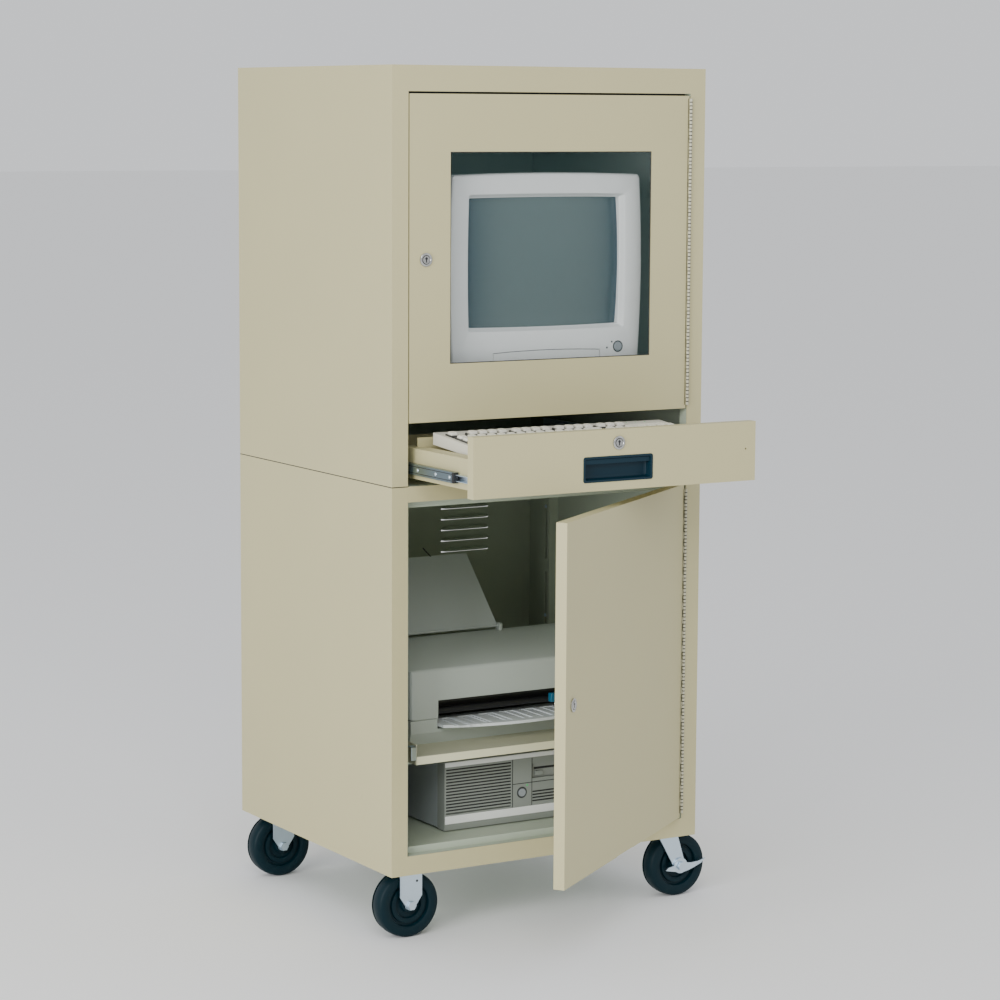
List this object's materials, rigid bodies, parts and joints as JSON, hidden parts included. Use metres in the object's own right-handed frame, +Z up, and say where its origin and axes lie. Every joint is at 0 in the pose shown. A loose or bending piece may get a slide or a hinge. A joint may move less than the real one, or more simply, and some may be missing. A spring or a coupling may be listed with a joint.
{
  "type": "computer workstation cabinet",
  "caption": "Wheeled steel workstation cabinet with windowed upper door, keyboard drawer and lower door, fitted with a tube monitor, keyboard, printer and flat desktop computer.",
  "frame": {"origin": "on the floor under the middle of the cabinet's footprint, wheels included in the height", "axes": "+Z up; the doors and the drawer face -Y; +X is the cabinet's right as seen from its front, where the doors hinge"},
  "size_m": [0.6699, 0.8998, 1.4785],
  "materials": {
    "putty_paint": "fine-textured satin powder coat",
    "cream_paint": "satin paint",
    "hinge_steel": "thin satin paint over steel",
    "zinc_steel": "bright zinc plating",
    "brake_steel": "bright zinc plating",
    "lock_chrome": "polished",
    "wheel_rubber": "matte moulded",
    "pull_plastic": "fine-grained moulding",
    "window_glazing": "clear",
    "screen_glass": "glossy",
    "monitor_plastic": "fine-grained moulding",
    "ivory_plastic": "fine-grained moulding",
    "printer_plastic": "fine-grained moulding",
    "tray_plastic": "satin",
    "pc_paint": "fine-textured paint",
    "pc_plastic": "fine-grained moulding",
    "drive_plastic": "satin",
    "board_laminate": "solder mask"
  },
  "bodies": {
    "cabinet": {"upper_shell": "putty_paint", "upper_back": "putty_paint", "monitor_deck": "putty_paint", "lower_shell": "putty_paint", "lower_back": "putty_paint", "shelf_supports": "putty_paint", "printer_shelf": "cream_paint", "hinge_fixed_leaves": "hinge_steel", "hinge_pins": "hinge_steel", "runner_outer": "zinc_steel", "rigid_forks": "zinc_steel", "rigid_axles": "zinc_steel", "swivel_plates": "zinc_steel", "monitor_base": "monitor_plastic", "printer_base": "printer_plastic", "printer_cover": "printer_plastic", "pc_case": "pc_paint", "pc_bezel": "pc_plastic", "pc_floppy": "drive_plastic", "pc_board": "board_laminate", "pc_power_supply": "zinc_steel"},
    "upper_door": {"upper_door": "putty_paint", "window_pane": "window_glazing", "upper_hinge_leaf": "hinge_steel", "upper_lock_body": "lock_chrome"},
    "upper_lock": {"upper_lock_plug": "lock_chrome"},
    "lower_door": {"lower_door": "putty_paint", "lower_hinge_leaf": "hinge_steel", "lower_lock_body": "lock_chrome"},
    "lower_lock": {"lower_lock_plug": "lock_chrome"},
    "drawer": {"drawer_box": "putty_paint", "drawer_front": "putty_paint", "drawer_pull": "pull_plastic", "runner_inner": "zinc_steel", "drawer_lock_body": "lock_chrome", "keyboard_case": "ivory_plastic", "keyboard_keys": "ivory_plastic"},
    "drawer_lock": {"drawer_lock_plug": "lock_chrome"},
    "space_bar": {"space_bar": "ivory_plastic"},
    "runner_middle": {"runner_middle": "zinc_steel"},
    "caster_front": {"swivel_fork_front": "zinc_steel", "swivel_axle_front": "zinc_steel"},
    "caster_rear": {"swivel_fork_rear": "zinc_steel", "swivel_axle_rear": "zinc_steel"},
    "brake_front": {"brake_front": "brake_steel"},
    "brake_rear": {"brake_rear": "brake_steel"},
    "wheel_front_left": {"wheel_front_left": "wheel_rubber"},
    "wheel_rear_left": {"wheel_rear_left": "wheel_rubber"},
    "wheel_front_right": {"wheel_front_right": "wheel_rubber"},
    "wheel_rear_right": {"wheel_rear_right": "wheel_rubber"},
    "monitor_cradle": {"monitor_cradle": "monitor_plastic"},
    "monitor": {"monitor_bezel": "monitor_plastic", "monitor_tube": "screen_glass", "monitor_housing": "monitor_plastic"},
    "monitor_button": {"monitor_button": "monitor_plastic"},
    "monitor_flap": {"monitor_flap": "monitor_plastic"},
    "printer_tray": {"printer_tray": "tray_plastic"},
    "paper_support": {"paper_support": "printer_plastic"},
    "pc_power_button": {"pc_power_button": "pc_plastic"},
    "floppy_button": {"floppy_button": "pc_plastic"}
  },
  "joints": [
    {"name": "upper_door_swing", "type": "hinge", "parent": "cabinet", "child": "upper_door", "pos_m": [0.2792, -0.28895, 1.1605], "axis": [0, 0, 1], "range_deg": [0, 165]},
    {"name": "lower_door_swing", "type": "hinge", "parent": "cabinet", "child": "lower_door", "pos_m": [0.2792, -0.28895, 0.4535], "axis": [0, 0, 1], "range_deg": [-36, 129]},
    {"name": "drawer_slide", "type": "slide", "parent": "cabinet", "child": "drawer", "axis": [0, -1, 0], "range_m": [-0.21, 0.17]},
    {"name": "runner_middle_slide", "type": "slide", "parent": "cabinet", "child": "runner_middle", "axis": [0, -1, 0], "range_m": [-0.1618, 0.131]},
    {"name": "monitor_tilt", "type": "hinge", "parent": "monitor_cradle", "child": "monitor", "pos_m": [0.01565, -0.08575, 1.0225], "axis": [-1, 0, 0], "range_deg": [0, 12]},
    {"name": "monitor_swivel", "type": "hinge", "parent": "cabinet", "child": "monitor_cradle", "pos_m": [0.01565, -0.08575, 0.9235], "axis": [0, 0, 1], "range_deg": [-4, 4]},
    {"name": "paper_support_fold", "type": "hinge", "parent": "cabinet", "child": "paper_support", "pos_m": [0, -0.03375, 0.4825], "axis": [1, 0, 0], "range_deg": [-6, 118]},
    {"name": "printer_tray_slide", "type": "slide", "parent": "cabinet", "child": "printer_tray", "axis": [0, 1, 0], "range_m": [0, 0.045]},
    {"name": "monitor_flap_fold", "type": "hinge", "parent": "monitor", "child": "monitor_flap", "pos_m": [0.01565, -0.24325, 0.9759], "axis": [1, 0, 0], "range_deg": [0, 88]},
    {"name": "brake_front_press", "type": "hinge", "parent": "caster_front", "child": "brake_front", "pos_m": [0.29485, -0.26375, 0.0575], "axis": [0, 1, 0], "range_deg": [0, 20]},
    {"name": "brake_rear_press", "type": "hinge", "parent": "caster_rear", "child": "brake_rear", "pos_m": [0.29485, 0.21575, 0.0575], "axis": [0, 1, 0], "range_deg": [0, 20]},
    {"name": "caster_front_swivel", "type": "hinge", "parent": "cabinet", "child": "caster_front", "pos_m": [0.25985, -0.23975, 0.1435], "axis": [0, 0, 1], "continuous": true},
    {"name": "caster_rear_swivel", "type": "hinge", "parent": "cabinet", "child": "caster_rear", "pos_m": [0.25985, 0.23975, 0.1435], "axis": [0, 0, 1], "continuous": true},
    {"name": "wheel_front_left_roll", "type": "hinge", "parent": "cabinet", "child": "wheel_front_left", "pos_m": [-0.26015, -0.23975, 0.0575], "axis": [0, 1, 0], "continuous": true},
    {"name": "wheel_rear_left_roll", "type": "hinge", "parent": "cabinet", "child": "wheel_rear_left", "pos_m": [-0.26015, 0.23975, 0.0575], "axis": [0, 1, 0], "continuous": true},
    {"name": "wheel_front_right_roll", "type": "hinge", "parent": "caster_front", "child": "wheel_front_right", "pos_m": [0.29485, -0.23975, 0.0575], "axis": [0, 1, 0], "continuous": true},
    {"name": "wheel_rear_right_roll", "type": "hinge", "parent": "caster_rear", "child": "wheel_rear_right", "pos_m": [0.29485, 0.23975, 0.0575], "axis": [0, 1, 0], "continuous": true},
    {"name": "upper_lock_turn", "type": "hinge", "parent": "upper_door", "child": "upper_lock", "pos_m": [-0.24775, -0.28575, 1.159], "axis": [0, 1, 0], "range_deg": [0, 90]},
    {"name": "lower_lock_turn", "type": "hinge", "parent": "lower_door", "child": "lower_lock", "pos_m": [-0.14899, -0.5961, 0.453], "axis": [-0.5878, 0.809, 0], "range_deg": [0, 90]},
    {"name": "drawer_lock_turn", "type": "hinge", "parent": "drawer", "child": "drawer_lock", "pos_m": [0, -0.49575, 0.862], "axis": [0, 1, 0], "range_deg": [0, 90]},
    {"name": "monitor_button_press", "type": "slide", "parent": "monitor", "child": "monitor_button", "axis": [0, 1, 0], "range_m": [0, 0.002], "stiffness_N_per_m": 400},
    {"name": "pc_power_button_press", "type": "slide", "parent": "cabinet", "child": "pc_power_button", "axis": [0, 1, 0], "range_m": [0, 0.002], "stiffness_N_per_m": 400},
    {"name": "floppy_button_press", "type": "slide", "parent": "cabinet", "child": "floppy_button", "axis": [0, 1, 0], "range_m": [0, 0.003], "stiffness_N_per_m": 300},
    {"name": "space_bar_press", "type": "slide", "parent": "drawer", "child": "space_bar", "axis": [0, 0.0965, -0.9953], "range_m": [0, 0.003], "stiffness_N_per_m": 250, "springref_m": -0.001}
  ],
  "couplings": [
    {"joint": "runner_middle_slide", "follows": "drawer_slide", "ratio": 0.77}
  ]
}
